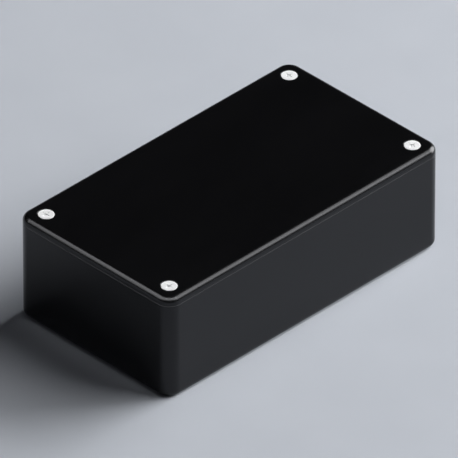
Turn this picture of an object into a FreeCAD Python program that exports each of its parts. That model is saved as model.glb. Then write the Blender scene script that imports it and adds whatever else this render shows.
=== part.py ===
# A moulded plastic case for electronics. An open-topped base carries four screw bosses
# with brass thread inserts, card guides on every wall and four board stand-offs. A flat
# lid laps over the rim of the base and is held by four countersunk cross-recess screws.
# Millimetres, +X along the length, +Y along the width, +Z up. The origin is the centre
# of the underside.

import FreeCAD
import Part
import Sketcher
import os

SIZES = [
    # Outside of the closed case
    ("box_length", "150"),
    ("box_width", "84"),
    ("box_height", "47"),
    ("corner_radius", "5.9"),
    ("top_edge_radius", "2.6"),
    ("bottom_edge_radius", "2.8"),
    # Walls of the base
    ("wall", "2.2"),
    ("floor_thickness", "2.5"),
    ("cavity_draft", "0.5"),
    ("inside_floor_bevel", "1.0"),
    # Lid and the lap joint between lid and base
    ("lid_depth", "3.5"),
    ("lid_plate", "2.4"),
    ("tongue_thickness", "1.0"),
    ("tongue_height", "1.5"),
    ("lap_clearance", "0.2"),
    ("seam_break", "0.08"),
    ("lid_pad_depth", "1.1"),
    # Screw bosses of the base
    ("screw_inset", "8.2"),
    ("boss_diameter", "9.0"),
    ("boss_web", "2.0"),
    ("screw_tip_room", "2.0"),
    # Screws
    ("screw_diameter", "3.5"),
    ("screw_length", "14"),
    ("head_diameter", "6.5"),
    ("head_land", "0.2"),
    ("seat_clearance", "0.05"),
    ("lid_hole_clearance", "0.2"),
    ("tip_chamfer", "0.5"),
    ("recess_span", "3.6"),
    ("recess_width", "0.8"),
    ("recess_depth", "1.5"),
    ("recess_foot_span", "1.5"),
    # Brass thread inserts
    ("insert_diameter", "5.2"),
    ("insert_length", "7.0"),
    ("knurl_depth", "0.2"),
    ("knurl_grooves", "18"),
    ("thread_clearance", "0.05"),
    # Card guides
    ("board_slot", "1.9"),
    ("guide_rib", "1.2"),
    ("guide_depth", "1.8"),
    ("guide_lead_in", "1.0"),
    ("guide_pitch", "14"),
    ("guide_margin", "2.0"),
    ("guide_top_gap", "4.0"),
    # Board stand-offs
    ("standoff_inset_x", "20"),
    ("standoff_inset_y", "14"),
    ("standoff_diameter", "6.0"),
    ("standoff_height", "6.0"),
    ("standoff_hole", "2.6"),
    ("standoff_hole_depth", "5.0"),
]

# Levels and places that several pieces share, as formulas on the sheet
HALF_LENGTH = "(Sizes.box_length / 2)"
HALF_WIDTH = "(Sizes.box_width / 2)"
SCREW_X = "(Sizes.box_length / 2 - Sizes.screw_inset)"
SCREW_Y = "(Sizes.box_width / 2 - Sizes.screw_inset)"
RIM_LEVEL = "(Sizes.box_height - Sizes.lid_depth)"
PAD_LEVEL = "(Sizes.box_height - Sizes.lid_plate - Sizes.lid_pad_depth)"
BOSS_LEVEL = (
    "(Sizes.box_height - Sizes.lid_plate - Sizes.lid_pad_depth - Sizes.lap_clearance)"
)

# A 45 degree seat stands off the cone of the head by the seat clearance, square to it
SINK_DIAMETER = (
    "Sizes.head_diameter + 2 * Sizes.head_land + 2 * sqrt(2) * Sizes.seat_clearance"
)

CORNERS = [
    ("front_left", "-1", "-1"),
    ("front_right", "1", "-1"),
    ("rear_left", "-1", "1"),
    ("rear_right", "1", "1"),
]

# How a sketch numbers the points of a curve and its own two axes
START, END, CENTRE = range(1, 4)
ACROSS_AXIS, UP_AXIS = range(-1, -3, -1)
ORIGIN_POINT = (ACROSS_AXIS, START)
NEARLY = 1e-4


def make_sheet(doc):
    sheet = doc.addObject("Spreadsheet::Sheet", "Sizes")
    for row, (name, value) in enumerate(SIZES, 1):
        sheet.set(f"A{row}", name)
        sheet.set(f"B{row}", value)
        sheet.setAlias(f"B{row}", name)
    doc.recompute()
    return sheet


# Sketches: each shape is drawn where the sheet puts it, then tied to the sheet


def origin_part(body, role):
    return next(f for f in body.Origin.OriginFeatures if f.Role == role)


def new_sketch(body, name, plane="XY_Plane", offset=None):
    sketch = body.newObject("Sketcher::SketchObject", name)
    sketch.AttachmentSupport = [(origin_part(body, plane), "")]
    sketch.MapMode = "FlatFace"
    if offset:
        sketch.setExpression("AttachmentOffset.Base.z", offset)
    return sketch


def value_of(item, formula):
    return float(item.evalExpression(formula))


def drive(sketch, name, formula, *constraint):
    value = value_of(sketch, formula)
    index = sketch.addConstraint(Sketcher.Constraint(*constraint, value))
    sketch.renameConstraint(index, name)
    sketch.setExpression("Constraints." + name, formula)


def place_point(sketch, name, point, x, y):
    for direction, axis, formula in (("X", UP_AXIS, x), ("Y", ACROSS_AXIS, y)):
        if formula == "0":
            sketch.addConstraint(Sketcher.Constraint("PointOnObject", *point, axis))
        else:
            kind = "Distance" + direction
            drive(sketch, name + direction, formula, kind, *ORIGIN_POINT, *point)


def polygon(sketch, name, corners):
    places = [
        FreeCAD.Vector(value_of(sketch, x), value_of(sketch, y), 0) for x, y in corners
    ]
    ends = places[1:] + places[:1]
    lines = [
        sketch.addGeometry(Part.LineSegment(start, end))
        for start, end in zip(places, ends)
    ]
    for line, following in zip(lines, lines[1:] + lines[:1]):
        joint = (line, END, following, START)
        sketch.addConstraint(Sketcher.Constraint("Coincident", *joint))
    for i, (x, y) in enumerate(corners):
        place_point(sketch, f"{name}{i}", (lines[i], START), x, y)


def rectangle(sketch, name, x_low, x_high, y_low, y_high):
    corners = [(x_low, y_low), (x_high, y_low), (x_high, y_high), (x_low, y_high)]
    polygon(sketch, name, corners)


def circle(sketch, name, x, y, diameter):
    centre = FreeCAD.Vector(value_of(sketch, x), value_of(sketch, y), 0)
    radius = value_of(sketch, diameter) / 2
    edge = Part.Circle(centre, FreeCAD.Vector(0, 0, 1), radius)
    index = sketch.addGeometry(edge)
    drive(sketch, name + "Size", diameter, "Diameter", index)
    place_point(sketch, name, (index, CENTRE), x, y)


def rounded_outline(sketch, name, inset):
    """The outline of the case, moved inwards by inset, with concentric corners."""
    length = f"Sizes.box_length - 2 * ({inset})"
    width = f"Sizes.box_width - 2 * ({inset})"
    radius = f"Sizes.corner_radius - ({inset})"
    a = value_of(sketch, length) / 2
    b = value_of(sketch, width) / 2
    r = value_of(sketch, radius)
    vector = FreeCAD.Vector
    ends = [
        (vector(r - a, -b, 0), vector(a - r, -b, 0)),
        (vector(a, r - b, 0), vector(a, b - r, 0)),
        (vector(a - r, b, 0), vector(r - a, b, 0)),
        (vector(-a, b - r, 0), vector(-a, r - b, 0)),
    ]
    middles = [
        vector(a - r, r - b, 0),
        vector(a - r, b - r, 0),
        vector(r - a, b - r, 0),
        vector(r - a, r - b, 0),
    ]
    sides = [sketch.addGeometry(Part.LineSegment(*pair)) for pair in ends]
    arcs = []
    for i, middle in enumerate(middles):
        turn = FreeCAD.Rotation(vector(0, 0, 1), 90 * i - 45)
        crest = middle + turn.multVec(vector(r, 0, 0))
        arc = Part.Arc(ends[i][1], crest, ends[(i + 1) % 4][0])
        arcs.append(sketch.addGeometry(arc))
    for i in range(4):
        after = sides[(i + 1) % 4]
        direction = "Horizontal" if i % 2 == 0 else "Vertical"
        sketch.addConstraint(Sketcher.Constraint(direction, sides[i]))
        into_arc = (sides[i], END, arcs[i], START)
        out_of_arc = (arcs[i], END, after, START)
        sketch.addConstraint(Sketcher.Constraint("Tangent", *into_arc))
        sketch.addConstraint(Sketcher.Constraint("Tangent", *out_of_arc))
    for arc, following in zip(arcs, arcs[1:]):
        sketch.addConstraint(Sketcher.Constraint("Equal", arc, following))
    centres = (arcs[3], CENTRE, arcs[1], CENTRE)
    sketch.addConstraint(Sketcher.Constraint("Symmetric", *centres, *ORIGIN_POINT))
    end_walls = (sides[3], START, sides[1], START)
    long_walls = (sides[0], START, sides[2], START)
    drive(sketch, name + "Length", length, "DistanceX", *end_walls)
    drive(sketch, name + "Width", width, "DistanceY", *long_walls)
    drive(sketch, name + "Radius", radius, "Radius", arcs[0])


# Features


def add_feature(body, kind, name, profile, formulas, **settings):
    feature = body.newObject("PartDesign::" + kind, name)
    feature.Profile = (profile, [""])
    for setting, value in settings.items():
        setattr(feature, setting, value)
    for target, formula in formulas.items():
        feature.setExpression(target, formula)
    body.Document.recompute()
    return feature


def dress_edges(body, kind, name, formula, wanted):
    """A Fillet or Chamfer on those edges of the body so far that wanted accepts."""
    before = body.Tip
    edges = enumerate(before.Shape.Edges, 1)
    feature = body.newObject("PartDesign::" + kind, name)
    feature.Base = (before, [f"Edge{i}" for i, edge in edges if wanted(edge)])
    feature.setExpression("Radius" if kind == "Fillet" else "Size", formula)
    body.Document.recompute()


def edges_at(item, formula):
    """Picks the edges that lie flat at a level."""
    level = value_of(item, formula)

    def wanted(edge):
        box = edge.BoundBox
        return abs(box.ZMin - level) < NEARLY and abs(box.ZMax - level) < NEARLY

    return wanted


def outer_edges_at(item, formula):
    """Picks the edges at a level that lie on the outside faces of the case."""
    at_level = edges_at(item, formula)
    straight_x = value_of(item, f"{HALF_LENGTH} - Sizes.corner_radius")
    straight_y = value_of(item, f"{HALF_WIDTH} - Sizes.corner_radius")
    mid_wall = value_of(item, "Sizes.corner_radius - Sizes.wall / 2")

    def wanted(edge):
        centre = edge.CenterOfMass
        past_x = max(abs(centre.x) - straight_x, 0)
        past_y = max(abs(centre.y) - straight_y, 0)
        return at_level(edge) and FreeCAD.Vector(past_x, past_y, 0).Length > mid_wall

    return wanted


def mirror_to_corners(body, name, originals):
    """Repeats features drawn in the +X +Y quarter in the other three quarters."""
    multi = body.newObject("PartDesign::MultiTransform", name)
    multi.Originals = originals
    steps = []
    for plane in ("YZ_Plane", "XZ_Plane"):
        step = body.newObject("PartDesign::Mirrored", name + plane[:2])
        step.MirrorPlane = (origin_part(body, plane), [""])
        steps.append(step)
    multi.Transformations = steps
    body.Tip = multi
    body.Document.recompute()


# Base


def base_shell(body):
    outside = new_sketch(body, "BaseOutline")
    rounded_outline(outside, "outer", "0")
    add_feature(body, "Pad", "BaseBlock", outside, {"Length": RIM_LEVEL})
    dress_edges(
        body, "Fillet", "BottomEdge", "Sizes.bottom_edge_radius", edges_at(outside, "0")
    )
    inside = new_sketch(body, "CavityOutline", offset=RIM_LEVEL)
    rounded_outline(inside, "inner", "Sizes.wall")
    cavity = {
        "Length": f"{RIM_LEVEL} - Sizes.floor_thickness",
        "TaperAngle": "-Sizes.cavity_draft",
    }
    add_feature(body, "Pocket", "Cavity", inside, cavity)
    floor_edges = edges_at(inside, "Sizes.floor_thickness")
    dress_edges(
        body, "Chamfer", "InsideFloorBevel", "Sizes.inside_floor_bevel", floor_edges
    )
    rim_edges = outer_edges_at(inside, RIM_LEVEL)
    dress_edges(body, "Chamfer", "BaseSeamEdge", "Sizes.seam_break", rim_edges)


def base_tongue(body):
    ring = new_sketch(body, "TongueOutline", offset=RIM_LEVEL)
    rounded_outline(ring, "outer", "Sizes.wall - Sizes.tongue_thickness")
    rounded_outline(ring, "inner", "Sizes.wall")
    add_feature(body, "Pad", "Tongue", ring, {"Length": "Sizes.tongue_height"})


def screw_boss(body):
    start = "Sizes.floor_thickness"
    height = {"Length": f"{BOSS_LEVEL} - Sizes.floor_thickness"}
    post = new_sketch(body, "BossOutline", offset=start)
    circle(post, "boss", SCREW_X, SCREW_Y, "Sizes.boss_diameter")
    boss = add_feature(body, "Pad", "Boss", post, height)
    low_x = f"{SCREW_X} - Sizes.boss_web / 2"
    high_x = f"{SCREW_X} + Sizes.boss_web / 2"
    low_y = f"{SCREW_Y} - Sizes.boss_web / 2"
    high_y = f"{SCREW_Y} + Sizes.boss_web / 2"
    in_end_wall = f"{HALF_LENGTH} - Sizes.wall / 2"
    in_long_wall = f"{HALF_WIDTH} - Sizes.wall / 2"
    to_end = new_sketch(body, "EndWebOutline", offset=start)
    rectangle(to_end, "web", SCREW_X, in_end_wall, low_y, high_y)
    end_web = add_feature(body, "Pad", "EndWeb", to_end, height)
    to_side = new_sketch(body, "SideWebOutline", offset=start)
    rectangle(to_side, "web", low_x, high_x, SCREW_Y, in_long_wall)
    side_web = add_feature(body, "Pad", "SideWeb", to_side, height)
    mouth = new_sketch(body, "InsertHoleOutline", offset=BOSS_LEVEL)
    circle(mouth, "hole", SCREW_X, SCREW_Y, "Sizes.insert_diameter")
    hole_foot = "(Sizes.box_height - Sizes.screw_length - Sizes.screw_tip_room)"
    hole_depth = {"Length": f"{BOSS_LEVEL} - {hole_foot}"}
    hole = add_feature(body, "Pocket", "InsertHole", mouth, hole_depth)
    return [boss, end_web, side_web, hole]


def board_standoff(body):
    x = f"{HALF_LENGTH} - Sizes.standoff_inset_x"
    y = f"{HALF_WIDTH} - Sizes.standoff_inset_y"
    top = "Sizes.floor_thickness + Sizes.standoff_height"
    foot = new_sketch(body, "StandoffOutline", offset="Sizes.floor_thickness")
    circle(foot, "post", x, y, "Sizes.standoff_diameter")
    height = {"Length": "Sizes.standoff_height"}
    post = add_feature(body, "Pad", "Standoff", foot, height)
    mouth = new_sketch(body, "StandoffHoleOutline", offset=top)
    circle(mouth, "hole", x, y, "Sizes.standoff_hole")
    depth = {"Length": "Sizes.standoff_hole_depth"}
    hole = add_feature(body, "Pocket", "StandoffHole", mouth, depth)
    return [post, hole]


def card_guides(body, name, overall, across, plane, facing, run):
    """Pairs of ribs a board slot apart, along two opposite walls and between bosses.

    A rib is drawn from the side, on a plane that boards in its slots are parallel to.
    """
    room = (
        f"({overall} - 2 * Sizes.screw_inset - Sizes.boss_diameter - Sizes.board_slot"
        " - 2 * Sizes.guide_rib - 2 * Sizes.guide_margin)"
    )
    steps = f"floor({room} / Sizes.guide_pitch)"
    first_slot = f"{steps} * Sizes.guide_pitch / 2"
    root = f"{across} / 2 - Sizes.wall / 2"
    tip = f"{across} / 2 - Sizes.wall - Sizes.guide_depth"
    foot = "Sizes.floor_thickness"
    top = f"{RIM_LEVEL} - Sizes.guide_top_gap"
    profile = [
        (tip, foot),
        (root, foot),
        (root, top),
        (f"{tip} + Sizes.guide_lead_in", top),
        (tip, f"{top} - Sizes.guide_lead_in"),
    ]
    starts = {
        "Near": f"-{first_slot} - Sizes.board_slot / 2 - Sizes.guide_rib",
        "Far": f"-{first_slot} + Sizes.board_slot / 2",
    }
    ribs = []
    for side, start in starts.items():
        outline = new_sketch(body, name + side + "Outline", plane, start)
        polygon(outline, "rib", profile)
        thickness = {"Length": "Sizes.guide_rib"}
        ribs.append(add_feature(body, "Pad", name + side, outline, thickness))
    multi = body.newObject("PartDesign::MultiTransform", name)
    multi.Originals = ribs
    row = body.newObject("PartDesign::LinearPattern", name + "Row")
    row.Direction = (origin_part(body, run), [""])
    row.Reversed = plane == "XZ_Plane"
    row.setExpression("Length", f"{steps} * Sizes.guide_pitch")
    row.setExpression("Occurrences", f"{steps} + 1")
    opposite = body.newObject("PartDesign::Mirrored", name + "Opposite")
    opposite.MirrorPlane = (origin_part(body, facing), [""])
    multi.Transformations = [row, opposite]
    body.Tip = multi
    body.Document.recompute()


def make_base(doc):
    body = doc.addObject("PartDesign::Body", "Base")
    body.Label = "base"
    base_shell(body)
    base_tongue(body)
    mirror_to_corners(body, "CornerBosses", screw_boss(body))
    mirror_to_corners(body, "Standoffs", board_standoff(body))
    length, width = "Sizes.box_length", "Sizes.box_width"
    card_guides(body, "LongGuides", length, width, "YZ_Plane", "XZ_Plane", "X_Axis")
    card_guides(body, "EndGuides", width, length, "XZ_Plane", "YZ_Plane", "Y_Axis")
    return body


# Lid


def make_lid(doc):
    body = doc.addObject("PartDesign::Body", "Lid")
    body.Label = "lid"
    outside = new_sketch(body, "LidOutline", offset=RIM_LEVEL)
    rounded_outline(outside, "outer", "0")
    add_feature(body, "Pad", "LidBlock", outside, {"Length": "Sizes.lid_depth"})
    top_edges = edges_at(outside, "Sizes.box_height")
    dress_edges(body, "Fillet", "TopEdge", "Sizes.top_edge_radius", top_edges)
    seam_edges = edges_at(outside, RIM_LEVEL)
    dress_edges(body, "Chamfer", "LidSeamEdge", "Sizes.seam_break", seam_edges)
    inner_edge = "Sizes.wall + Sizes.lap_clearance"
    hollow = new_sketch(body, "LidHollowOutline", offset=RIM_LEVEL)
    rounded_outline(hollow, "inner", inner_edge)
    depth = {"Length": "Sizes.lid_depth - Sizes.lid_plate"}
    add_feature(body, "Pocket", "LidHollow", hollow, depth, Reversed=True)
    rebate = new_sketch(body, "RebateOutline", offset=RIM_LEVEL)
    skirt = "Sizes.wall - Sizes.tongue_thickness - Sizes.lap_clearance"
    rounded_outline(rebate, "outer", skirt)
    rounded_outline(rebate, "inner", inner_edge)
    depth = {"Length": "Sizes.tongue_height + Sizes.lap_clearance"}
    add_feature(body, "Pocket", "TongueRebate", rebate, depth, Reversed=True)
    mirror_to_corners(body, "ScrewPlaces", lid_screw_place(body))
    return body


def lid_screw_place(body):
    disc = new_sketch(body, "PadOutline", offset=PAD_LEVEL)
    circle(disc, "pad", SCREW_X, SCREW_Y, "Sizes.boss_diameter")
    pad_depth = {"Length": "Sizes.lid_pad_depth"}
    pad = add_feature(body, "Pad", "ScrewPad", disc, pad_depth)
    mark = new_sketch(body, "ScrewHoleMark", offset="Sizes.box_height")
    hole_diameter = "Sizes.screw_diameter + 2 * Sizes.lid_hole_clearance"
    circle(mark, "hole", SCREW_X, SCREW_Y, hole_diameter)
    body.Document.recompute()
    hole = add_feature(
        body,
        "Hole",
        "ScrewHole",
        mark,
        {},
        ThreadType=0,
        DepthType="ThroughAll",
        HoleCutType="Countersink",
        HoleCutCustomValues=True,
        HoleCutCountersinkAngle=90,
    )
    hole.setExpression("Diameter", hole_diameter)
    hole.setExpression("HoleCutDiameter", SINK_DIAMETER)
    body.Document.recompute()
    return [pad, hole]


# Screws and inserts


def put_at_corner(body, sign_x, sign_y, level):
    body.setExpression("Placement.Base.x", f"{sign_x} * {SCREW_X}")
    body.setExpression("Placement.Base.y", f"{sign_y} * {SCREW_Y}")
    body.setExpression("Placement.Base.z", level)


def turn_on_lathe(body, name, profile):
    section = new_sketch(body, name + "Section", "XZ_Plane")
    polygon(section, "edge", profile)
    axis = (section, ["V_Axis"])
    add_feature(body, "Revolution", name, section, {}, ReferenceAxis=axis, Angle=360.0)


def make_screw(doc, corner, sign_x, sign_y):
    """A countersunk screw, flush with the lid. Its own zero is the face of its head."""
    body = doc.addObject("PartDesign::Body", "Screw_" + corner)
    body.Label = "screw_" + corner
    head = "Sizes.head_diameter / 2"
    shank = "Sizes.screw_diameter / 2"
    cone_foot = f"-Sizes.head_land - ({head} - {shank})"
    profile = [
        ("0", "0"),
        (head, "0"),
        (head, "-Sizes.head_land"),
        (shank, cone_foot),
        (shank, "-Sizes.screw_length + Sizes.tip_chamfer"),
        (f"{shank} - Sizes.tip_chamfer", "-Sizes.screw_length"),
        ("0", "-Sizes.screw_length"),
    ]
    turn_on_lathe(body, "Turned_" + corner, profile)
    mouth = "Sizes.recess_span / 2"
    foot = "Sizes.recess_foot_span / 2"
    blade = [
        (f"-{mouth}", "0"),
        (mouth, "0"),
        (foot, "-Sizes.recess_depth"),
        (f"-{foot}", "-Sizes.recess_depth"),
    ]
    for plane in ("XZ_Plane", "YZ_Plane"):
        arm = new_sketch(body, f"Arm{plane[:2]}Outline_{corner}", plane)
        polygon(arm, "blade", blade)
        width = {"Length": "Sizes.recess_width"}
        add_feature(body, "Pocket", f"Arm{plane[:2]}_{corner}", arm, width, Midplane=True)
    put_at_corner(body, sign_x, sign_y, "Sizes.box_height")
    return body


def make_insert(doc, corner, sign_x, sign_y):
    """A straight-knurled brass bush. Its own zero is its top face."""
    body = doc.addObject("PartDesign::Body", "Insert_" + corner)
    body.Label = "insert_" + corner
    bore = "Sizes.screw_diameter / 2 + Sizes.thread_clearance"
    outer = "Sizes.insert_diameter / 2"
    foot = "-Sizes.insert_length"
    profile = [(bore, "0"), (outer, "0"), (outer, foot), (bore, foot)]
    turn_on_lathe(body, "Bush_" + corner, profile)
    notch = new_sketch(body, "KnurlOutline_" + corner)
    wedge = [
        (f"{outer} - Sizes.knurl_depth", "0"),
        (f"{outer} + Sizes.knurl_depth", "2 * Sizes.knurl_depth"),
        (f"{outer} + Sizes.knurl_depth", "-2 * Sizes.knurl_depth"),
    ]
    polygon(notch, "notch", wedge)
    length = {"Length": "Sizes.insert_length"}
    groove = add_feature(body, "Pocket", "Knurl_" + corner, notch, length)
    around = body.newObject("PartDesign::PolarPattern", "KnurlAround_" + corner)
    around.Originals = [groove]
    around.Axis = (origin_part(body, "Z_Axis"), [""])
    around.Angle = 360.0
    around.setExpression("Occurrences", "Sizes.knurl_grooves")
    body.Tip = around
    put_at_corner(body, sign_x, sign_y, BOSS_LEVEL)
    return body


# Whole case


def check(doc, pieces):
    for item in doc.Objects:
        if "Invalid" in item.State or "Error" in item.State:
            raise RuntimeError(f"{item.Label} did not build: {item.State}")
    for piece in pieces:
        if piece.Shape.isNull() or not piece.Shape.isValid():
            raise RuntimeError(f"{piece.Label} has no valid shape")


def main():
    doc = FreeCAD.newDocument("ProjectBox")
    make_sheet(doc)
    pieces = [make_base(doc), make_lid(doc)]
    for corner, sign_x, sign_y in CORNERS:
        pieces.append(make_screw(doc, corner, sign_x, sign_y))
        pieces.append(make_insert(doc, corner, sign_x, sign_y))
    doc.recompute()
    check(doc, pieces)
    os.makedirs("parts", exist_ok=True)
    for piece in pieces:
        piece.Shape.exportStep(os.path.join("parts", piece.Label + ".step"))
        print(piece.Label, round(piece.Shape.Volume, 1), len(piece.Shape.Faces))


main()
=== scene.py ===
# A moulded black plastic case with a flat screwed lid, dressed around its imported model.
# The case is modelled in millimetres and stored in metres, +Z up, standing on z = 0.

import math

import bmesh
import bpy
from mathutils import Euler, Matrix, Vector


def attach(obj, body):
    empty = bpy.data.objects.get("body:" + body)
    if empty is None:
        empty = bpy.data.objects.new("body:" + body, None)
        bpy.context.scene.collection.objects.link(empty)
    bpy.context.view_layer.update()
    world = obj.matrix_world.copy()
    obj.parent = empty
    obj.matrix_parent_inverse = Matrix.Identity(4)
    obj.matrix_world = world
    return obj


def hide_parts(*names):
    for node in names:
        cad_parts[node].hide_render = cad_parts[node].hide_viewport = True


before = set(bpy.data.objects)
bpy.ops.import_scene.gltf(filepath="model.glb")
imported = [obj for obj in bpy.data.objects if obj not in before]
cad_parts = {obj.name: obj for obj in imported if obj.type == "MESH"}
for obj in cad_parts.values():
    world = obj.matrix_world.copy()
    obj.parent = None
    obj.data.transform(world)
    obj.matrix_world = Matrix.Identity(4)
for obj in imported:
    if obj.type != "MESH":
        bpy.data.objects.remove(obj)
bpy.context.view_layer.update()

MM = 0.001

# How near counts as the same place, and how straight as facing a way
NEAR = 0.01
SAME_POINT = 0.001
SAME_CUT_POINT = 0.0001
FACING = 0.9
FLAT_ANGLE = math.radians(1)
NEEDLESS_TURN = math.radians(0.05)

# How far a cutting tool reaches past the surface that it cuts
CLEAR = 1.0

# Sides of turned pieces, and steps of small rounds
ROUND_SIDES = 64
SMALL_ROUND_SIDES = 48
FINE_STEPS = 2

# Angles in degrees below which a piece is shaded smooth
MOULDING_CREASE = 30
SCREW_CREASE = 20
INSERT_CREASE = 28

# Outside of the closed case
HALF_LENGTH = 75.0
HALF_WIDTH = 42.0
HEIGHT = 47.0
CORNER_RADIUS = 5.9
TOP_EDGE_RADIUS = 2.6
BOTTOM_EDGE_RADIUS = 2.8
SEAM_BREAK = 0.05
CORNER_STEPS = 16
EDGE_STEPS = 10

# Levels of the joint between lid and base
RIM = 43.5
TONGUE_TOP = 45.0
LID_UNDERSIDE = 44.6
REBATE_ROOF = 45.2
BOSS_TOP = 43.3
LID_PAD_FOOT = 43.5

# Walls
WALL = 2.2
TONGUE_SET_IN = 1.2
SKIRT = 1.0
LID_HOLLOW_SET_IN = 2.4
FLOOR_TOP = 2.5
FLOOR_BEVEL = 1.0
DRAFT = math.tan(math.radians(0.5))
MARK_DEPTH = 0.1
BURIED = 0.5

# Screws, bosses and inserts
SCREW_X = 66.8
SCREW_Y = 33.8
BOSS_RADIUS = 4.5
INSERT_RADIUS = 2.6
CORNERS = {
    "front_left": (-1, -1),
    "front_right": (1, -1),
    "rear_left": (-1, 1),
    "rear_right": (1, 1),
}


# Working with Blender's tools


def pick_piece(piece):
    """Leaves this one piece selected and active, in object mode."""
    if bpy.context.object and bpy.context.object.mode == "EDIT":
        bpy.ops.object.mode_set(mode="OBJECT")
    bpy.ops.object.select_all(action="DESELECT")
    piece.select_set(True)
    bpy.context.view_layer.objects.active = piece


def start_editing(piece):
    pick_piece(piece)
    bpy.ops.object.mode_set(mode="EDIT")


def stop_editing():
    bpy.ops.object.mode_set(mode="OBJECT")


def keep_place_in_mesh(piece):
    pick_piece(piece)
    bpy.ops.object.transform_apply(location=True, rotation=True, scale=True)


def pick_faces(piece, wanted):
    """Selects the faces whose middle, in millimetres, and normal are wanted."""
    bpy.ops.mesh.select_mode(type="FACE")
    bpy.ops.mesh.select_all(action="DESELECT")
    mesh = bmesh.from_edit_mesh(piece.data)
    for face in mesh.faces:
        face.select_set(bool(wanted(face.calc_center_median() / MM, face.normal)))
    bmesh.update_edit_mesh(piece.data)


def pick_edges(piece, wanted):
    """Selects the edges that turn a corner and whose ends, in millimetres, are wanted."""
    bpy.ops.mesh.select_mode(type="EDGE")
    bpy.ops.mesh.select_all(action="DESELECT")
    mesh = bmesh.from_edit_mesh(piece.data)
    for edge in mesh.edges:
        start, end = (corner.co / MM for corner in edge.verts)
        turns_corner = edge.calc_face_angle(0) > FLAT_ANGLE
        edge.select_set(bool(turns_corner and wanted(start, end)))
    bmesh.update_edit_mesh(piece.data)


def pick_points(piece, wanted):
    bpy.ops.mesh.select_mode(type="VERT")
    bpy.ops.mesh.select_all(action="DESELECT")
    mesh = bmesh.from_edit_mesh(piece.data)
    for point in mesh.verts:
        point.select_set(bool(wanted(point.co / MM)))
    bmesh.update_edit_mesh(piece.data)


def round_off(radius, steps):
    """Bevels the picked edges to a round of this radius in millimetres."""
    bpy.ops.mesh.bevel(
        offset=radius * MM,
        offset_type="OFFSET",
        segments=steps,
        profile=0.5,
        affect="EDGES",
    )


def pull(x, y, z):
    """Extrudes what is picked by this much, in millimetres."""
    bpy.ops.mesh.extrude_region_move(
        TRANSFORM_OT_translate={"value": (x * MM, y * MM, z * MM)}
    )


def set_in(width, depth=0.0):
    bpy.ops.mesh.inset(thickness=width * MM, depth=depth * MM, use_even_offset=True)


def widen(x, y, z, middle):
    """Scales what is picked about a middle given in millimetres."""
    bpy.ops.transform.resize(
        value=(x, y, z), center_override=tuple(part * MM for part in middle)
    )


def block(name, low, high):
    """A block between two corners, with its place in its mesh."""
    middle = (Vector(low) + Vector(high)) / 2 * MM
    size = (Vector(high) - Vector(low)) * MM
    bpy.ops.object.select_all(action="DESELECT")
    bpy.ops.mesh.primitive_cube_add(size=1, location=middle, scale=size)
    piece = bpy.context.object
    piece.name = name
    keep_place_in_mesh(piece)
    return piece


def rod(name, x, y, low, high, radius, sides):
    """An upright round rod, with its place in its mesh."""
    bpy.ops.object.select_all(action="DESELECT")
    bpy.ops.mesh.primitive_cylinder_add(
        vertices=sides,
        radius=radius * MM,
        depth=(high - low) * MM,
        location=(x * MM, y * MM, (low + high) / 2 * MM),
    )
    piece = bpy.context.object
    piece.name = name
    keep_place_in_mesh(piece)
    return piece


def turned(name, x, y, outline, steps):
    """Turns an outline of (radius, level) points about an upright axis, as on a lathe."""
    radius, level = outline[0]
    bpy.ops.object.select_all(action="DESELECT")
    bpy.ops.mesh.primitive_plane_add(
        size=MM, location=((x + radius) * MM, y * MM, level * MM)
    )
    piece = bpy.context.object
    piece.name = name
    keep_place_in_mesh(piece)
    start_editing(piece)
    shrink_to_point()
    for next_radius, next_level in outline[1:]:
        pull(next_radius - radius, 0, next_level - level)
        radius, level = next_radius, next_level
    bpy.ops.mesh.select_all(action="SELECT")
    bpy.ops.mesh.spin(
        steps=steps, angle=math.tau, center=(x * MM, y * MM, 0), axis=(0, 0, 1)
    )
    tidy_surface()
    stop_editing()
    return piece


def shrink_to_point():
    """Leaves one picked point in the middle of the open piece, to draw an outline from."""
    bpy.ops.mesh.select_mode(type="VERT")
    bpy.ops.mesh.select_all(action="SELECT")
    bpy.ops.mesh.merge(type="CENTER")


def tidy_surface():
    """Merges doubled points of the open piece and turns its faces outwards."""
    bpy.ops.mesh.select_all(action="SELECT")
    bpy.ops.mesh.remove_doubles(threshold=SAME_POINT * MM)
    bpy.ops.mesh.select_all(action="SELECT")
    bpy.ops.mesh.normals_make_consistent(inside=False)


def clean_flats(piece):
    """Dissolves the needless edges that a cut leaves in flat faces."""
    start_editing(piece)
    bpy.ops.mesh.select_all(action="SELECT")
    bpy.ops.mesh.remove_doubles(threshold=SAME_CUT_POINT * MM)
    bpy.ops.mesh.select_all(action="SELECT")
    bpy.ops.mesh.dissolve_limited(angle_limit=NEEDLESS_TURN)
    stop_editing()


def combine(piece, tool, action):
    """Unites a piece with a tool, cuts the tool from it or keeps what they share."""
    pick_piece(piece)
    change = piece.modifiers.new(action.title(), "BOOLEAN")
    change.operation = action
    change.solver = "EXACT"
    change.object = tool
    bpy.ops.object.modifier_apply(modifier=change.name)
    bpy.data.objects.remove(tool)


def join(name, pieces):
    """Gathers pieces into one object."""
    pick_piece(pieces[0])
    for piece in pieces[1:]:
        piece.select_set(True)
    bpy.ops.object.join()
    pieces[0].name = name
    return pieces[0]


def copy_of(piece, name):
    """A copy with a mesh of its own."""
    twin = piece.copy()
    twin.data = piece.data.copy()
    twin.name = name
    bpy.context.collection.objects.link(twin)
    return twin


def moved(piece, x, y):
    piece.location = (x * MM, y * MM, 0)
    keep_place_in_mesh(piece)
    return piece


def turned_by(piece, degrees):
    """Turns a piece about the upright axis in the middle of the case."""
    piece.rotation_euler.z = math.radians(degrees)
    keep_place_in_mesh(piece)
    return piece


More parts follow.
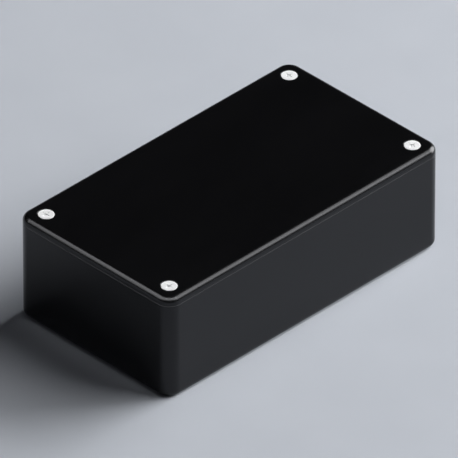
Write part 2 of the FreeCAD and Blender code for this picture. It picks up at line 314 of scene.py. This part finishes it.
def mirrored(piece, side_x, side_y):
    """Turns a piece drawn in the +X +Y quarter into the same piece of another quarter."""
    piece.scale = (side_x, side_y, 1)
    keep_place_in_mesh(piece)
    start_editing(piece)
    tidy_surface()
    stop_editing()
    return piece


def at_every_corner(pattern):
    """Mirrors a piece of the rear right corner into all four, and removes the pattern."""
    pieces = [
        mirrored(copy_of(pattern, pattern.name), side_x, side_y)
        for side_x, side_y in CORNERS.values()
    ]
    bpy.data.objects.remove(pattern)
    return pieces


def shade(piece, angle):
    """Shades rounds smooth below this angle, and keeps wide flats truly flat."""
    pick_piece(piece)
    bpy.ops.object.shade_smooth_by_angle(angle=math.radians(angle))
    flats = piece.modifiers.new("Flats", "WEIGHTED_NORMAL")
    flats.weight = 100
    flats.keep_sharp = True
    bpy.ops.object.modifier_apply(modifier=flats.name)


def depth_inside(point):
    """How far a point lies inside the outline of the case, seen from above."""
    past_x = abs(point.x) - (HALF_LENGTH - CORNER_RADIUS)
    past_y = abs(point.y) - (HALF_WIDTH - CORNER_RADIUS)
    if past_x > 0 and past_y > 0:
        return CORNER_RADIUS - math.hypot(past_x, past_y)
    return CORNER_RADIUS - max(past_x, past_y)


def facing_up(middle, normal):
    return normal.z > FACING


def facing_down(middle, normal):
    return normal.z < -FACING


def flat_at(level):
    def wanted(start, end):
        return abs(start.z - level) < NEAR and abs(end.z - level) < NEAR

    return wanted


def outside_at(level):
    """Picks the edges at a level that run round the outside of the case."""
    at_level = flat_at(level)
    still_outside = 0.2

    def wanted(start, end):
        on_outline = max(depth_inside(start), depth_inside(end)) < still_outside
        return at_level(start, end) and on_outline

    return wanted


def upright(start, end):
    least_rise = 1.0
    return abs(start.z - end.z) > least_rise


# Lid


def make_lid():
    """The flat lid: a hollowed plate with a skirt, four pads and countersunk holes."""
    lid = block(
        "moulded_lid", (-HALF_LENGTH, -HALF_WIDTH, RIM), (HALF_LENGTH, HALF_WIDTH, HEIGHT)
    )
    start_editing(lid)
    pick_edges(lid, upright)
    round_off(CORNER_RADIUS, CORNER_STEPS)
    pick_edges(lid, flat_at(HEIGHT))
    round_off(TOP_EDGE_RADIUS, EDGE_STEPS)
    pick_faces(lid, facing_down)
    set_in(SKIRT)
    set_in(LID_HOLLOW_SET_IN - SKIRT)

    def within_skirt(middle, normal):
        return facing_down(middle, normal) and depth_inside(middle) > SKIRT

    pick_faces(lid, within_skirt)
    pull(0, 0, LID_UNDERSIDE - RIM)

    def rebate(middle, normal):
        between = SKIRT < depth_inside(middle) < LID_HOLLOW_SET_IN
        return facing_down(middle, normal) and between

    pick_faces(lid, rebate)
    pull(0, 0, REBATE_ROOF - LID_UNDERSIDE)
    pick_edges(lid, outside_at(RIM))
    round_off(SEAM_BREAK, 1)
    stop_editing()
    for side_x, side_y in CORNERS.values():
        x, y = side_x * SCREW_X, side_y * SCREW_Y
        combine(lid, lid_pad(x, y), "UNION")
        combine(lid, countersink(x, y), "DIFFERENCE")
    marks = ejector_marks(LID_UNDERSIDE - CLEAR, LID_UNDERSIDE + MARK_DEPTH)
    combine(lid, marks, "DIFFERENCE")
    clean_flats(lid)
    shade(lid, MOULDING_CREASE)
    return lid


def lid_pad(x, y):
    """A round pad under the lid that lands just above a screw boss."""
    sunk = 0.4
    foot_round = 0.2
    pad = rod("pad", x, y, LID_PAD_FOOT, LID_UNDERSIDE + sunk, BOSS_RADIUS, ROUND_SIDES)
    start_editing(pad)
    pick_edges(pad, flat_at(LID_PAD_FOOT))
    round_off(foot_round, FINE_STEPS)
    stop_editing()
    return pad


def countersink(x, y):
    """The shape of a screw hole: clearance, a 90 degree seat and a broken edge."""
    seat = 3.52
    clearance = 1.95
    broken_edge = 0.2
    outline = [
        (0, RIM - CLEAR),
        (clearance + broken_edge, RIM - CLEAR),
        (clearance + broken_edge, RIM),
        (clearance, RIM + broken_edge),
        (clearance, HEIGHT - (seat - clearance)),
        (seat, HEIGHT),
        (seat + CLEAR, HEIGHT + CLEAR),
        (0, HEIGHT + CLEAR),
    ]
    return turned("hole", x, y, outline, ROUND_SIDES)


# Base


def make_base():
    """The open box: shell, lap rim, bosses, card guides and board stand-offs."""
    tongue_round = 0.12
    base = block(
        "moulded_base", (-HALF_LENGTH, -HALF_WIDTH, 0), (HALF_LENGTH, HALF_WIDTH, RIM)
    )
    start_editing(base)
    pick_edges(base, upright)
    round_off(CORNER_RADIUS, CORNER_STEPS)
    pick_edges(base, flat_at(0))
    round_off(BOTTOM_EDGE_RADIUS, EDGE_STEPS)
    pick_faces(base, facing_up)
    set_in(TONGUE_SET_IN)
    set_in(WALL - TONGUE_SET_IN)
    bevel_top = FLOOR_TOP + FLOOR_BEVEL
    pull(0, 0, bevel_top - RIM)
    drawn_in = (RIM - bevel_top) * DRAFT
    mouth_x, mouth_y = HALF_LENGTH - WALL, HALF_WIDTH - WALL
    widen(1 - drawn_in / mouth_x, 1 - drawn_in / mouth_y, 1, (0, 0, bevel_top))
    set_in(FLOOR_BEVEL, -FLOOR_BEVEL)

    def rim_ring(middle, normal):
        between = TONGUE_SET_IN < depth_inside(middle) < WALL
        return facing_up(middle, normal) and abs(middle.z - RIM) < NEAR and between

    pick_faces(base, rim_ring)
    pull(0, 0, TONGUE_TOP - RIM)
    pick_edges(base, flat_at(TONGUE_TOP))
    round_off(tongue_round, FINE_STEPS)
    pick_edges(base, outside_at(RIM))
    round_off(SEAM_BREAK, 1)
    stop_editing()
    inside = [*corner_posts(), *standoffs(), *guide_ribs()]
    combine(base, join("inside", inside), "UNION")
    marks = ejector_marks(FLOOR_TOP - MARK_DEPTH, FLOOR_TOP + CLEAR)
    combine(base, marks, "DIFFERENCE")
    combine(base, gate_dimple(), "DIFFERENCE")
    clean_flats(base)
    shade(base, MOULDING_CREASE)
    return base


def corner_posts():
    """The four screw bosses, each tied to both walls by a web and bored for its insert."""
    foot = FLOOR_TOP - BURIED
    hole_foot = 31.0
    edge_round = 0.15
    half_web = 1.0
    # The webs start and end at levels of their own: the union fails on faces in one plane.
    web_drop = 0.3
    web_step = 0.05
    foot_step = 0.1
    post = rod("post", SCREW_X, SCREW_Y, foot, BOSS_TOP, BOSS_RADIUS, ROUND_SIDES)
    start_editing(post)
    pick_edges(post, flat_at(BOSS_TOP))
    round_off(edge_round, FINE_STEPS)
    stop_editing()
    web_top = BOSS_TOP - web_drop
    mid_wall_x, mid_wall_y = HALF_LENGTH - WALL / 2, HALF_WIDTH - WALL / 2
    end_web = block(
        "web",
        (SCREW_X, SCREW_Y - half_web, foot - foot_step),
        (mid_wall_x, SCREW_Y + half_web, web_top),
    )
    side_web = block(
        "web",
        (SCREW_X - half_web, SCREW_Y, foot - 2 * foot_step),
        (SCREW_X + half_web, mid_wall_y, web_top - web_step),
    )
    combine(post, end_web, "UNION")
    combine(post, side_web, "UNION")
    bore = [
        (0, hole_foot),
        (INSERT_RADIUS, hole_foot),
        (INSERT_RADIUS, BOSS_TOP - edge_round),
        (INSERT_RADIUS + edge_round + CLEAR, BOSS_TOP + CLEAR),
        (0, BOSS_TOP + CLEAR),
    ]
    combine(post, turned("bore", SCREW_X, SCREW_Y, bore, ROUND_SIDES), "DIFFERENCE")
    return at_every_corner(post)


def standoffs():
    """Four short posts on the floor, each with a blind hole for a board screw."""
    x, y = 55.0, 28.0
    radius, height = 3.0, 6.0
    hole_radius, hole_depth = 1.3, 5.0
    edge_round = 0.15
    top = FLOOR_TOP + height
    post = rod("standoff", x, y, FLOOR_TOP - BURIED, top, radius, SMALL_ROUND_SIDES)
    start_editing(post)
    pick_faces(post, facing_up)
    set_in(radius - hole_radius)
    pull(0, 0, -hole_depth)
    pick_edges(post, flat_at(top))
    round_off(edge_round, FINE_STEPS)
    stop_editing()
    return at_every_corner(post)


def guide_ribs():
    """Pairs of ribs that hold the edges of circuit boards, with chamfered lead-ins."""
    rib_width = 1.2
    rib_height = 1.8
    slot = 1.9
    pitch = 14.0
    lead_in_cut = 1.0
    tip_round = 0.15
    below_rim = 4.0
    guide_top = RIM - below_rim
    out = (slot + rib_width) / 2
    rows = [
        (HALF_WIDTH, range(-4, 5), 0),
        (HALF_LENGTH, [-1.5, -0.5, 0.5, 1.5], 90),
    ]
    ribs = []
    for half_across, places, turn in rows:
        root = half_across - WALL / 2
        tip = half_across - WALL - rib_height
        rib = block(
            "rib",
            (-rib_width / 2, tip, FLOOR_TOP - BURIED),
            (rib_width / 2, root, guide_top),
        )
        start_editing(rib)

        def along_tip(start, end):
            return max(start.y, end.y) < tip + NEAR

        def lead_in(start, end):
            return along_tip(start, end) and flat_at(guide_top)(start, end)

        def tip_sides(start, end):
            return along_tip(start, end) and upright(start, end)

        pick_edges(rib, lead_in)
        round_off(lead_in_cut, 1)
        pick_edges(rib, tip_sides)
        round_off(tip_round, FINE_STEPS)
        stop_editing()
        for place in places:
            for side in (-1, 1):
                along = place * pitch + side * out
                for facing in (0, 180):
                    twin = turned_by(copy_of(rib, "rib"), facing)
                    ribs.append(turned_by(moved(twin, along, 0), turn))
        bpy.data.objects.remove(rib)
    return ribs


def ejector_marks(low, high):
    """Shallow round marks where the mould's pins push a moulding out."""
    along, across = 34, 19
    pin_radius = 2.5
    marks = [
        rod("mark", column * along, row * across, low, high, pin_radius, SMALL_ROUND_SIDES)
        for column in (-1, 0, 1)
        for row in (-1, 1)
    ]
    return join("marks", marks)


def gate_dimple():
    """The dimple in the middle of the underside, with the stub of the gate in it."""
    mouth, roof, depth = 3.1, 2.8, 0.3
    stub_root, stub_end, stub_level = 0.6, 0.5, 0.1
    outline = [
        (0, -CLEAR),
        (mouth, -CLEAR),
        (mouth, 0),
        (roof, depth),
        (stub_root, depth),
        (stub_end, stub_level),
        (0, stub_level),
    ]
    return turned("gate", 0, 0, outline, SMALL_ROUND_SIDES)


# Screws and inserts


def threaded_rod(name, x, y, low, high, root, crest, tip_cut):
    """A closed rod with a real helical thread, cut to length and chamfered at its foot."""
    pitch = 0.6
    crest_foot, crest_top, root_foot = 0.21, 0.3, 0.51
    steps = 32
    spare_turns = 2
    spare_room = 0.4
    chain = [
        (root, 0),
        (crest, crest_foot),
        (crest, crest_top),
        (root, root_foot),
        (root, pitch),
    ]
    start_level = low - spare_turns * pitch
    turns = math.ceil((high - start_level) / pitch) + spare_turns
    bpy.ops.object.select_all(action="DESELECT")
    bpy.ops.mesh.primitive_plane_add(size=MM)
    thread = bpy.context.object
    thread.name = name
    start_editing(thread)
    shrink_to_point()
    bpy.ops.transform.translate(value=(root * MM, 0, start_level * MM))
    for (radius, level), (next_radius, next_level) in zip(chain, chain[1:]):
        pull(next_radius - radius, 0, next_level - level)
    stop_editing()
    winding = thread.modifiers.new("Winding", "SCREW")
    winding.axis = "Z"
    winding.angle = math.tau
    winding.screw_offset = pitch * MM
    winding.iterations = turns
    winding.steps = steps
    winding.render_steps = steps
    winding.use_merge_vertices = True
    winding.merge_threshold = NEAR * MM
    pick_piece(thread)
    bpy.ops.object.modifier_apply(modifier=winding.name)
    start_editing(thread)
    bpy.ops.mesh.select_all(action="SELECT")
    bpy.ops.mesh.remove_doubles(threshold=NEAR * MM)
    middle_level = start_level + turns * pitch / 2
    for end in (-1, 1):
        bpy.ops.mesh.select_mode(type="EDGE")
        bpy.ops.mesh.select_all(action="DESELECT")
        bpy.ops.mesh.select_non_manifold(extend=False)
        mesh = bmesh.from_edit_mesh(thread.data)
        for edge in mesh.edges:
            level = (edge.verts[0].co.z + edge.verts[1].co.z) / 2 / MM
            if edge.select and (level - middle_level) * end < 0:
                edge.select_set(False)
        bmesh.update_edit_mesh(thread.data)
        bpy.ops.mesh.extrude_region_move()
        bpy.ops.mesh.merge(type="CENTER")
    tidy_surface()
    stop_editing()
    moved(thread, x, y)
    room = crest + spare_room
    outline = [
        (0, low),
        (crest - tip_cut, low),
        (room, low + room - (crest - tip_cut)),
        (room, high),
        (0, high),
    ]
    combine(thread, turned("length", x, y, outline, ROUND_SIDES), "INTERSECT")
    return thread


def make_screw():
    """One countersunk screw in the rear right corner: head, cross recess and thread."""
    x, y = SCREW_X, SCREW_Y
    length = 14
    head, rim = 3.25, 0.2
    edge_round, edge_middle = 0.1, 0.03
    root, crest, neck = 1.4, 1.75, 1.6
    neck_top, neck_foot = 0.25, 1.0
    above_thread = 0.6
    tip_cut = 0.5
    cone_foot = HEIGHT - rim - (head - crest)
    outline = [
        (0, HEIGHT),
        (head - edge_round, HEIGHT),
        (head - edge_middle, HEIGHT - edge_middle),
        (head, HEIGHT - edge_round),
        (head, HEIGHT - rim),
        (crest, cone_foot),
        (neck, cone_foot - neck_top),
        (neck, cone_foot - neck_foot),
        (0, cone_foot - neck_foot),
    ]
    screw = turned("screw", x, y, outline, ROUND_SIDES)
    thread_top = cone_foot - above_thread
    shank = threaded_rod("shank", x, y, HEIGHT - length, thread_top, root, crest, tip_cut)
    combine(screw, shank, "UNION")
    for quarter in (0, 1):
        combine(screw, recess_blade(x, y, quarter), "DIFFERENCE")
    combine(screw, recess_core(x, y), "DIFFERENCE")
    start_editing(screw)
    bpy.ops.mesh.select_all(action="SELECT")
    bpy.ops.mesh.dissolve_degenerate(threshold=SAME_POINT * MM)
    tidy_surface()
    stop_editing()
    shade(screw, SCREW_CREASE)
    return screw


def recess_blade(x, y, quarter):
    """One blade of the cross recess, narrower at its foot."""
    depth, half_span, half_width = 1.5, 1.8, 0.4
    end_share = 0.5
    foot_span_share, foot_width_share = 0.42, 0.7
    blade = block(
        "blade",
        (-half_span, -half_width, HEIGHT - depth),
        (half_span, half_width, HEIGHT),
    )
    start_editing(blade)
    bpy.ops.mesh.select_all(action="SELECT")
    bpy.ops.mesh.bisect(plane_co=(0, 0, 0), plane_no=(1, 0, 0))
    pick_faces(blade, lambda middle, normal: abs(normal.x) > FACING)
    widen(1, end_share, 1, (0, 0, HEIGHT))
    pick_faces(blade, facing_down)
    widen(foot_span_share, foot_width_share, 1, (0, 0, HEIGHT - depth))
    pick_faces(blade, facing_up)
    pull(0, 0, CLEAR)
    stop_editing()
    return moved(turned_by(blade, 90 * quarter), x, y)


def recess_core(x, y):
    """The round middle of the cross recess, with a pointed foot."""
    sides = 24
    point_depth, shoulder_depth = 1.7, 1.35
    shoulder, mouth = 0.55, 0.8
    outline = [
        (0, HEIGHT - point_depth),
        (shoulder, HEIGHT - shoulder_depth),
        (mouth, HEIGHT + CLEAR),
        (0, HEIGHT + CLEAR),
    ]
    return turned("core", x, y, outline, sides)


def make_insert():
    """One brass thread insert in the rear right boss, knurled in two bands."""
    x, y = SCREW_X, SCREW_Y
    length = 7
    outer, neck = INSERT_RADIUS, 2.38
    edge_cut = 0.12
    collar_foot, collar_end = 0.8, 0.95
    band_start, band_top, band_foot, band_end = 1.15, 1.3, 3.4, 3.6
    lower_start, lower_top = 4.2, 4.4
    tip_length, tip_cut = 0.7, 0.1
    columns, tooth = 96, 4
    knurl_top, knurl_middle, knurl_share = 1.2, 3, 0.93
    tap_root, tap_crest, tap_past = 1.8, 2.05, 0.5
    lead_depth, lead_past, lead_mouth = 0.35, 0.2, 2.35
    top, foot = BOSS_TOP, BOSS_TOP - length
    outline = [
        (0, top),
        (outer - edge_cut, top),
        (outer, top - edge_cut),
        (outer, top - collar_foot),
        (neck, top - collar_end),
        (neck, top - band_start),
        (outer, top - band_top),
        (outer, top - band_foot),
        (neck, top - band_end),
        (neck, top - lower_start),
        (outer, top - lower_top),
        (outer, foot + tip_length),
        (neck - tip_cut, foot),
        (0, foot),
    ]
    insert = turned("insert", x, y, outline, columns)
    axis = Vector((x, y, 0))

    def groove_floor(point):
        away = point - axis
        around = math.atan2(away.y, away.x) / math.tau * columns
        in_groove = round(around) % tooth == 0
        on_band = math.hypot(away.x, away.y) > outer - NEAR and point.z < top - knurl_top
        return in_groove and on_band

    start_editing(insert)
    pick_points(insert, groove_floor)
    widen(knurl_share, knurl_share, 1, (x, y, top - knurl_middle))
    stop_editing()
    tap = threaded_rod("tap", x, y, foot - tap_past, top + tap_past, tap_root, tap_crest, 0.0)
    combine(insert, tap, "DIFFERENCE")
    lead = [
        (0, top - lead_depth),
        (tap_root, top - lead_depth),
        (lead_mouth, top + lead_past),
        (0, top + lead_past),
    ]
    combine(insert, turned("lead", x, y, lead, ROUND_SIDES), "DIFFERENCE")
    start_editing(insert)
    tidy_surface()
    stop_editing()
    shade(insert, INSERT_CREASE)
    return insert


def put_at_corner(pattern, name, side_x, side_y):
    """Copies a piece of the rear right corner into another corner, unturned."""
    twin = copy_of(pattern, name)
    return moved(twin, (side_x - 1) * SCREW_X, (side_y - 1) * SCREW_Y)


# Finishes


class Finish:
    """A material made of nodes, in the object's own coordinates."""

    def __init__(self, name):
        self.material = bpy.data.materials.new(name)
        self.material.use_nodes = True
        self.tree = self.material.node_tree
        self.shader = self.tree.nodes["Principled BSDF"]
        self.places = self.add("ShaderNodeTexCoord").outputs["Object"]

    def add(self, kind, **settings):
        node = self.tree.nodes.new(kind)
        for setting, value in settings.items():
            setattr(node, setting, value)
        return node

    def link(self, output, target):
        self.tree.links.new(output, target)

    def noise(self, size, detail=2.0, stretch=None):
        """Noise whose features are about this many millimetres across."""
        cloud = self.add("ShaderNodeTexNoise")
        cloud.inputs["Scale"].default_value = 1 / (size * MM)
        cloud.inputs["Detail"].default_value = detail
        source = self.places
        if stretch:
            mapping = self.add("ShaderNodeMapping")
            mapping.inputs["Scale"].default_value = stretch
            self.link(source, mapping.inputs["Vector"])
            source = mapping.outputs["Vector"]
        self.link(source, cloud.inputs["Vector"])
        return cloud.outputs["Fac"]

    def spread(self, value, least, most):
        """Maps a noise, which seldom leaves low..high, to least..most."""
        low, high = 0.3, 0.7
        change = self.add("ShaderNodeMapRange")
        change.inputs["From Min"].default_value = low
        change.inputs["From Max"].default_value = high
        change.inputs["To Min"].default_value = least
        change.inputs["To Max"].default_value = most
        self.link(value, change.inputs["Value"])
        return change.outputs["Result"]

    def colours(self, value, first, second):
        """Blends two colours by a noise."""
        all_first, all_second = 0.35, 0.65
        ramp = self.add("ShaderNodeValToRGB")
        ramp.color_ramp.elements[0].position = all_first
        ramp.color_ramp.elements[1].position = all_second
        ramp.color_ramp.elements[0].color = (*first, 1)
        ramp.color_ramp.elements[1].color = (*second, 1)
        self.link(value, ramp.inputs["Fac"])
        return ramp.outputs["Color"]

    def relief(self, height, depth, under=None):
        """Bump of this depth in millimetres, over another bump if there is one."""
        bump = self.add("ShaderNodeBump")
        bump.inputs["Strength"].default_value = 1.0
        bump.inputs["Distance"].default_value = depth * MM
        self.link(height, bump.inputs["Height"])
        if under:
            self.link(under, bump.inputs["Normal"])
        return bump.outputs["Normal"]

    def wear(self, piece):
        piece.data.materials.clear()
        piece.data.materials.append(self.material)


def black_moulded_plastic():
    """Black moulded plastic with a fine grain, faint flow marks and slightly uneven gloss."""
    finish = Finish("black_moulded_plastic")
    shader = finish.shader
    flow = finish.noise(size=18, detail=3.0, stretch=(0.35, 1.0, 1.0))
    tint = finish.colours(flow, (0.0016, 0.0016, 0.0019), (0.0024, 0.0024, 0.0028))
    finish.link(tint, shader.inputs["Base Color"])
    gloss = finish.spread(finish.noise(size=6, detail=4.0), least=0.22, most=0.24)
    finish.link(gloss, shader.inputs["Roughness"])
    waves = finish.relief(finish.noise(size=25, detail=1.0), depth=0.008)
    grain = finish.relief(finish.noise(size=0.35, detail=2.0), depth=0.006, under=waves)
    finish.link(grain, shader.inputs["Normal"])
    shader.inputs["IOR"].default_value = 1.42
    shader.inputs["Specular Tint"].default_value = (0.95, 0.96, 1.0, 1)
    return finish


def bright_zinc():
    """Nearly white plate, a little uneven, with a fine grain."""
    finish = Finish("bright_zinc_plate")
    shader = finish.shader
    clouds = finish.noise(size=1.2, detail=3.0)
    tint = finish.colours(clouds, (0.94, 0.945, 0.95), (0.97, 0.975, 0.98))
    finish.link(tint, shader.inputs["Base Color"])
    gloss = finish.spread(finish.noise(size=0.5, detail=3.0), least=0.44, most=0.56)
    finish.link(gloss, shader.inputs["Roughness"])
    grain = finish.relief(finish.noise(size=0.3, detail=2.0), depth=0.003)
    finish.link(grain, shader.inputs["Normal"])
    return finish


def turned_brass():
    """Turned brass with faint rings and slightly uneven gloss."""
    finish = Finish("turned_brass")
    shader = finish.shader
    clouds = finish.noise(size=1.5, detail=3.0)
    tint = finish.colours(clouds, (0.74, 0.52, 0.22), (0.84, 0.63, 0.30))
    finish.link(tint, shader.inputs["Base Color"])
    gloss = finish.spread(finish.noise(size=0.6, detail=3.0), least=0.26, most=0.40)
    finish.link(gloss, shader.inputs["Roughness"])
    lines = finish.noise(size=0.5, detail=2.0, stretch=(0.1, 0.1, 1.0))
    finish.link(finish.relief(lines, depth=0.004), shader.inputs["Normal"])
    shader.inputs["Metallic"].default_value = 1.0
    return finish


def pale_floor():
    """A plain pale studio floor, cool and matt, with a trace of unevenness."""
    finish = Finish("pale_studio_floor")
    shader = finish.shader
    clouds = finish.noise(size=40, detail=2.0)
    tint = finish.colours(clouds, (0.55, 0.58, 0.635), (0.565, 0.595, 0.65))
    finish.link(tint, shader.inputs["Base Color"])
    shader.inputs["Roughness"].default_value = 0.9
    shader.inputs["Specular IOR Level"].default_value = 0.02
    return finish


# Studio


def make_floor():
    half_side = 4.0
    bpy.ops.object.select_all(action="DESELECT")
    bpy.ops.mesh.primitive_plane_add(size=2 * half_side)
    floor = bpy.context.object
    floor.name = "studio_floor"
    pale_floor().wear(floor)


def softbox(name, direction, distance, width, height, power, turn=0):
    """A rectangular lamp that faces the case from a direction, turned about its axis."""
    lamp = bpy.data.lights.new(name, "AREA")
    lamp.shape = "RECTANGLE"
    lamp.size = width
    lamp.size_y = height
    lamp.energy = power
    stand = bpy.data.objects.new(name, lamp)
    way = Vector(direction).normalized()
    stand.location = way * distance
    twist = Euler((0, 0, math.radians(turn))).to_quaternion()
    facing = way.to_track_quat("Z", "Y") @ twist
    stand.rotation_euler = facing.to_euler()
    bpy.context.collection.objects.link(stand)
    return stand


def make_softboxes():
    """Two large soft lamps to the right of the case, one high and one low."""
    softbox(
        "side_softbox",
        direction=(0.68, -0.38, 0.63),
        distance=2.48,
        width=2.82,
        height=2.03,
        power=58.3,
        turn=-36,
    )
    softbox(
        "end_softbox",
        direction=(0.90, -0.25, 0.36),
        distance=3.38,
        width=2.70,
        height=2.70,
        power=151.9,
    )


def shine_strips():
    """Strips that only glossy surfaces mirror: they draw the shine along the case's rounds."""
    distance = 1.2
    strength = 13.0
    strips = {
        "strip_over_left_end": ((-0.505, 0.545, 0.669), 0.18, 1.05, 42),
        "strip_left_of_corner": ((-0.545, 0.165, 0.807), 0.86, 0.85, 28),
        "strip_over_corner": ((-0.324, -0.324, 0.889), 0.66, 0.85, 0),
        "strip_right_of_corner": ((0.110, -0.551, 0.827), 0.66, 0.85, -26),
    }
    for name, (direction, along, across, turn) in strips.items():
        power = strength * along * across
        strip = softbox(name, direction, distance, along, across, power, turn)
        strip.visible_diffuse = False


def make_world():
    """A dim studio room with a pale wall low along the horizon."""
    wall_top, room_foot = 0.05, 0.10
    pale_wall = (0.70, 0.735, 0.79, 1)
    dim_room = (0.02, 0.02, 0.022, 1)
    world = bpy.data.worlds.new("studio_room")
    bpy.context.scene.world = world
    world.use_nodes = True
    tree = world.node_tree
    coordinates = tree.nodes.new("ShaderNodeTexCoord")
    split = tree.nodes.new("ShaderNodeSeparateXYZ")
    ramp = tree.nodes.new("ShaderNodeValToRGB")
    ramp.color_ramp.elements[0].position = wall_top
    ramp.color_ramp.elements[0].color = pale_wall
    ramp.color_ramp.elements[1].position = room_foot
    ramp.color_ramp.elements[1].color = dim_room
    tree.links.new(coordinates.outputs["Generated"], split.inputs["Vector"])
    tree.links.new(split.outputs["Z"], ramp.inputs["Fac"])
    tree.links.new(ramp.outputs["Color"], tree.nodes["Background"].inputs["Color"])


def make_camera():
    """The photograph's view: along the isometric direction, from far off."""
    reach = 6.937
    lens = 1400
    sensor = 36
    nearest, farthest = 0.1, 20
    aim = Vector((-0.00019, 0.00019, 0.02344))
    back = Vector((-1, -1, 1)).normalized()
    data = bpy.data.cameras.new("camera")
    data.lens = lens
    data.sensor_width = sensor
    data.clip_start = nearest
    data.clip_end = farthest
    camera = bpy.data.objects.new("camera", data)
    camera.location = aim + back * reach
    camera.rotation_euler = back.to_track_quat("Z", "Y").to_euler()
    bpy.context.collection.objects.link(camera)
    bpy.context.scene.camera = camera


# Everything together

bpy.context.scene.view_settings.view_transform = "Standard"
make_camera()
make_floor()
make_world()
make_softboxes()
shine_strips()

plastic = black_moulded_plastic()
zinc = bright_zinc()
brass = turned_brass()

lid = make_lid()
plastic.wear(lid)
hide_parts("lid")
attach(lid, "lid")

base = make_base()
plastic.wear(base)
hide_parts("base")
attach(base, "base")

screw_pattern = make_screw()
insert_pattern = make_insert()
for corner, (side_x, side_y) in CORNERS.items():
    screw = put_at_corner(screw_pattern, "lid_screw_" + corner, side_x, side_y)
    zinc.wear(screw)
    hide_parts("screw_" + corner)
    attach(screw, "screw_" + corner)
    insert = put_at_corner(insert_pattern, "thread_insert_" + corner, side_x, side_y)
    brass.wear(insert)
    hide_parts("insert_" + corner)
    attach(insert, "base")
bpy.data.objects.remove(screw_pattern)
bpy.data.objects.remove(insert_pattern)
